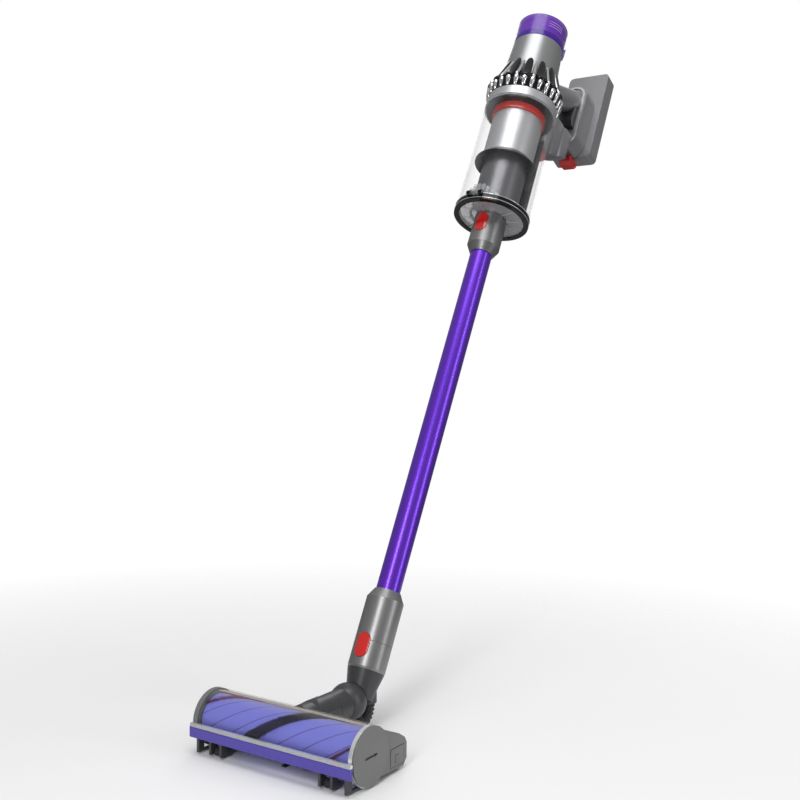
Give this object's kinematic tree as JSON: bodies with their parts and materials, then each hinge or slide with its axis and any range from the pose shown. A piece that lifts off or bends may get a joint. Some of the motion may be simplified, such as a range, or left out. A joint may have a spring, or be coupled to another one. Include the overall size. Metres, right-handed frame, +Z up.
{
  "type": "cordless stick vacuum",
  "caption": "Cordless stick vacuum: motorised floor head with clear roller window, swivelling neck, slim wand, clear bin with cyclone and motor unit, pistol grip and battery.",
  "frame": {"origin": "on the floor under the roller's axis, at mid width of the floor head", "axes": "+Z up, +X along the roller to the head's right end, -Y towards the front of the head, wand leaning back over +Y"},
  "size_m": [0.25, 0.9241, 1.0746],
  "materials": {
    "wand_violet": "anodised satin",
    "gunmetal": "metallic satin",
    "charcoal": "satin",
    "hose_rubber": "ribbed",
    "head_grey": "fine texture",
    "bright_trim": "bright metallic",
    "window_clear": "clear",
    "bin_clear": "clear",
    "red_gloss": "gloss",
    "red_clear": "translucent",
    "bumper_violet": "satin",
    "roller_blue": "soft woven",
    "bristle_black": "soft bristle",
    "bristle_cream": "stiff bristle",
    "rubber_black": "matt",
    "pin_steel": "ground",
    "silver_metal": "satin",
    "dark_metallic": "metallic",
    "cyclone_gloss": "gloss",
    "casing_metallic": "metallic satin",
    "filter_violet": "translucent",
    "filter_pleat": "pleated",
    "display_black": "gloss",
    "motor_alloy": "machined",
    "handle_grey": "fine texture",
    "cell_metal": "plain",
    "copper": "plain"
  },
  "bodies": {
    "main_unit": {"collector_tube": "dark_metallic", "shroud": "silver_metal", "shroud_skirt": "charcoal", "red_seal_ring": "red_clear", "bin_seal": "rubber_black", "cyclone_ring": "silver_metal", "cyclone_pack": "cyclone_gloss", "motor_casing": "casing_metallic", "motor_can": "motor_alloy", "display_module": "display_black", "handle_grip": "handle_grey", "trigger_pin": "pin_steel", "finger_guard": "charcoal", "handle_fairing": "handle_grey", "handle_boss": "handle_grey"},
    "filter_unit": {"filter_cap": "filter_violet", "filter_media": "filter_pleat"},
    "mode_key": {"mode_button": "charcoal"},
    "rotor_unit": {"motor_rotor": "motor_alloy"},
    "trigger_lever": {"trigger": "charcoal"},
    "battery": {"battery_case": "handle_grey", "battery_cells": "cell_metal"},
    "battery_key": {"battery_catch": "red_gloss"},
    "bin_unit": {"bin_cylinder": "bin_clear", "lid_hinge_pin": "pin_steel", "bin_rail": "charcoal"},
    "bin_release": {"bin_lever": "red_gloss"},
    "lid_unit": {"bin_base_ring": "charcoal", "bin_lid": "bin_clear", "inlet_tube": "gunmetal", "lid_seal": "rubber_black"},
    "wand_unit": {"wand_tube": "wand_violet", "wand_lower_collar": "gunmetal", "wand_upper_collar": "gunmetal", "wand_conductor": "copper"},
    "wand_key": {"wand_release_button": "red_gloss"},
    "cuff_unit": {"neck_cuff": "charcoal", "head_connector": "gunmetal"},
    "head_key": {"head_release_button": "red_gloss"},
    "arm_unit": {"neck_arm": "charcoal", "elbow_pin": "pin_steel", "neck_hose": "hose_rubber"},
    "barrel_unit": {"neck_barrel": "charcoal"},
    "head_unit": {"head_housing": "head_grey", "neck_hood": "charcoal", "sole_plate": "charcoal", "sole_runners": "rubber_black", "front_strip": "bumper_violet", "front_trim": "bright_trim", "roller_window": "window_clear", "left_end_frame": "head_grey", "right_end_frame": "bright_trim", "roller_motor": "motor_alloy", "neck_pivot_pins": "pin_steel"},
    "end_cap_unit": {"end_cap": "head_grey"},
    "roller": {"roller_drum": "roller_blue", "carbon_bristles": "bristle_black", "nylon_bristles": "bristle_cream"},
    "front_wheel_pair": {"front_wheels": "rubber_black"},
    "rear_wheel_pair": {"rear_wheels": "rubber_black"}
  },
  "joints": [
    {"name": "filter_twist", "type": "hinge", "parent": "main_unit", "child": "filter_unit", "pos_m": [0, 0.64606, 1.01537], "axis": [0, 0.4591, 0.8884], "range_deg": [0, 25]},
    {"name": "mode_press", "type": "slide", "parent": "main_unit", "child": "mode_key", "axis": [0, -0.4591, -0.8884], "range_m": [0, 0.0012], "stiffness_N_per_m": 600},
    {"name": "rotor_spin", "type": "hinge", "parent": "main_unit", "child": "rotor_unit", "pos_m": [0, 0.63366, 0.99138], "axis": [0, 0.4591, 0.8884], "continuous": true},
    {"name": "trigger_pull", "type": "hinge", "parent": "main_unit", "child": "trigger_lever", "pos_m": [0, 0.69962, 0.93917], "axis": [1, 0, 0], "range_deg": [0, 8], "stiffness_Nm_per_rad": 0.4},
    {"name": "battery_pull", "type": "slide", "parent": "main_unit", "child": "battery", "axis": [0, 0.8884, -0.4591], "range_m": [0, 0.03]},
    {"name": "battery_catch_press", "type": "slide", "parent": "battery", "child": "battery_key", "axis": [0, 0.4591, 0.8884], "range_m": [0, 0.003], "stiffness_N_per_m": 800},
    {"name": "bin_slide", "type": "slide", "parent": "main_unit", "child": "bin_unit", "axis": [0, -0.4591, -0.8884], "range_m": [0, 0.055]},
    {"name": "bin_lever_push", "type": "slide", "parent": "main_unit", "child": "bin_release", "axis": [0, -0.4591, -0.8884], "range_m": [0, 0.055]},
    {"name": "lid_open", "type": "hinge", "parent": "bin_unit", "child": "lid_unit", "pos_m": [0, 0.43907, 0.75121], "axis": [-1, 0, 0], "range_deg": [0, 100]},
    {"name": "wand_pull", "type": "slide", "parent": "lid_unit", "child": "wand_unit", "axis": [0, -0.4591, -0.8884], "range_m": [0, 0.045]},
    {"name": "wand_button_press", "type": "slide", "parent": "wand_unit", "child": "wand_key", "axis": [0, 0.8884, -0.4591], "range_m": [0, 0.002], "stiffness_N_per_m": 800},
    {"name": "head_pull", "type": "slide", "parent": "wand_unit", "child": "cuff_unit", "axis": [0, -0.4591, -0.8884], "range_m": [0, 0.05]},
    {"name": "head_button_press", "type": "slide", "parent": "cuff_unit", "child": "head_key", "axis": [0, 0.8884, -0.4591], "range_m": [0, 0.002], "stiffness_N_per_m": 800},
    {"name": "elbow_pitch", "type": "hinge", "parent": "cuff_unit", "child": "arm_unit", "pos_m": [0, 0.121, 0.046], "axis": [1, 0, 0], "range_deg": [0, 45], "deforming": ["neck_hose"]},
    {"name": "neck_roll", "type": "hinge", "parent": "arm_unit", "child": "barrel_unit", "pos_m": [0, 0.08, 0.046], "axis": [0, 1, 0], "range_deg": [-45, 45]},
    {"name": "neck_tilt", "type": "hinge", "parent": "barrel_unit", "child": "head_unit", "pos_m": [0, 0.058, 0.046], "axis": [-1, 0, 0], "range_deg": [0, 40]},
    {"name": "roller_spin", "type": "hinge", "parent": "head_unit", "child": "roller", "pos_m": [0, 0, 0.037], "axis": [1, 0, 0], "continuous": true},
    {"name": "end_cap_turn", "type": "hinge", "parent": "head_unit", "child": "end_cap_unit", "pos_m": [0, 0, 0.037], "axis": [1, 0, 0], "range_deg": [0, 45]},
    {"name": "front_wheel_spin", "type": "hinge", "parent": "head_unit", "child": "front_wheel_pair", "pos_m": [0, -0.026, 0.0055], "axis": [1, 0, 0], "continuous": true},
    {"name": "rear_wheel_spin", "type": "hinge", "parent": "head_unit", "child": "rear_wheel_pair", "pos_m": [0, 0.064, 0.008], "axis": [1, 0, 0], "continuous": true}
  ],
  "couplings": [
    {"joint": "bin_lever_push", "follows": "bin_slide", "ratio": 1}
  ]
}
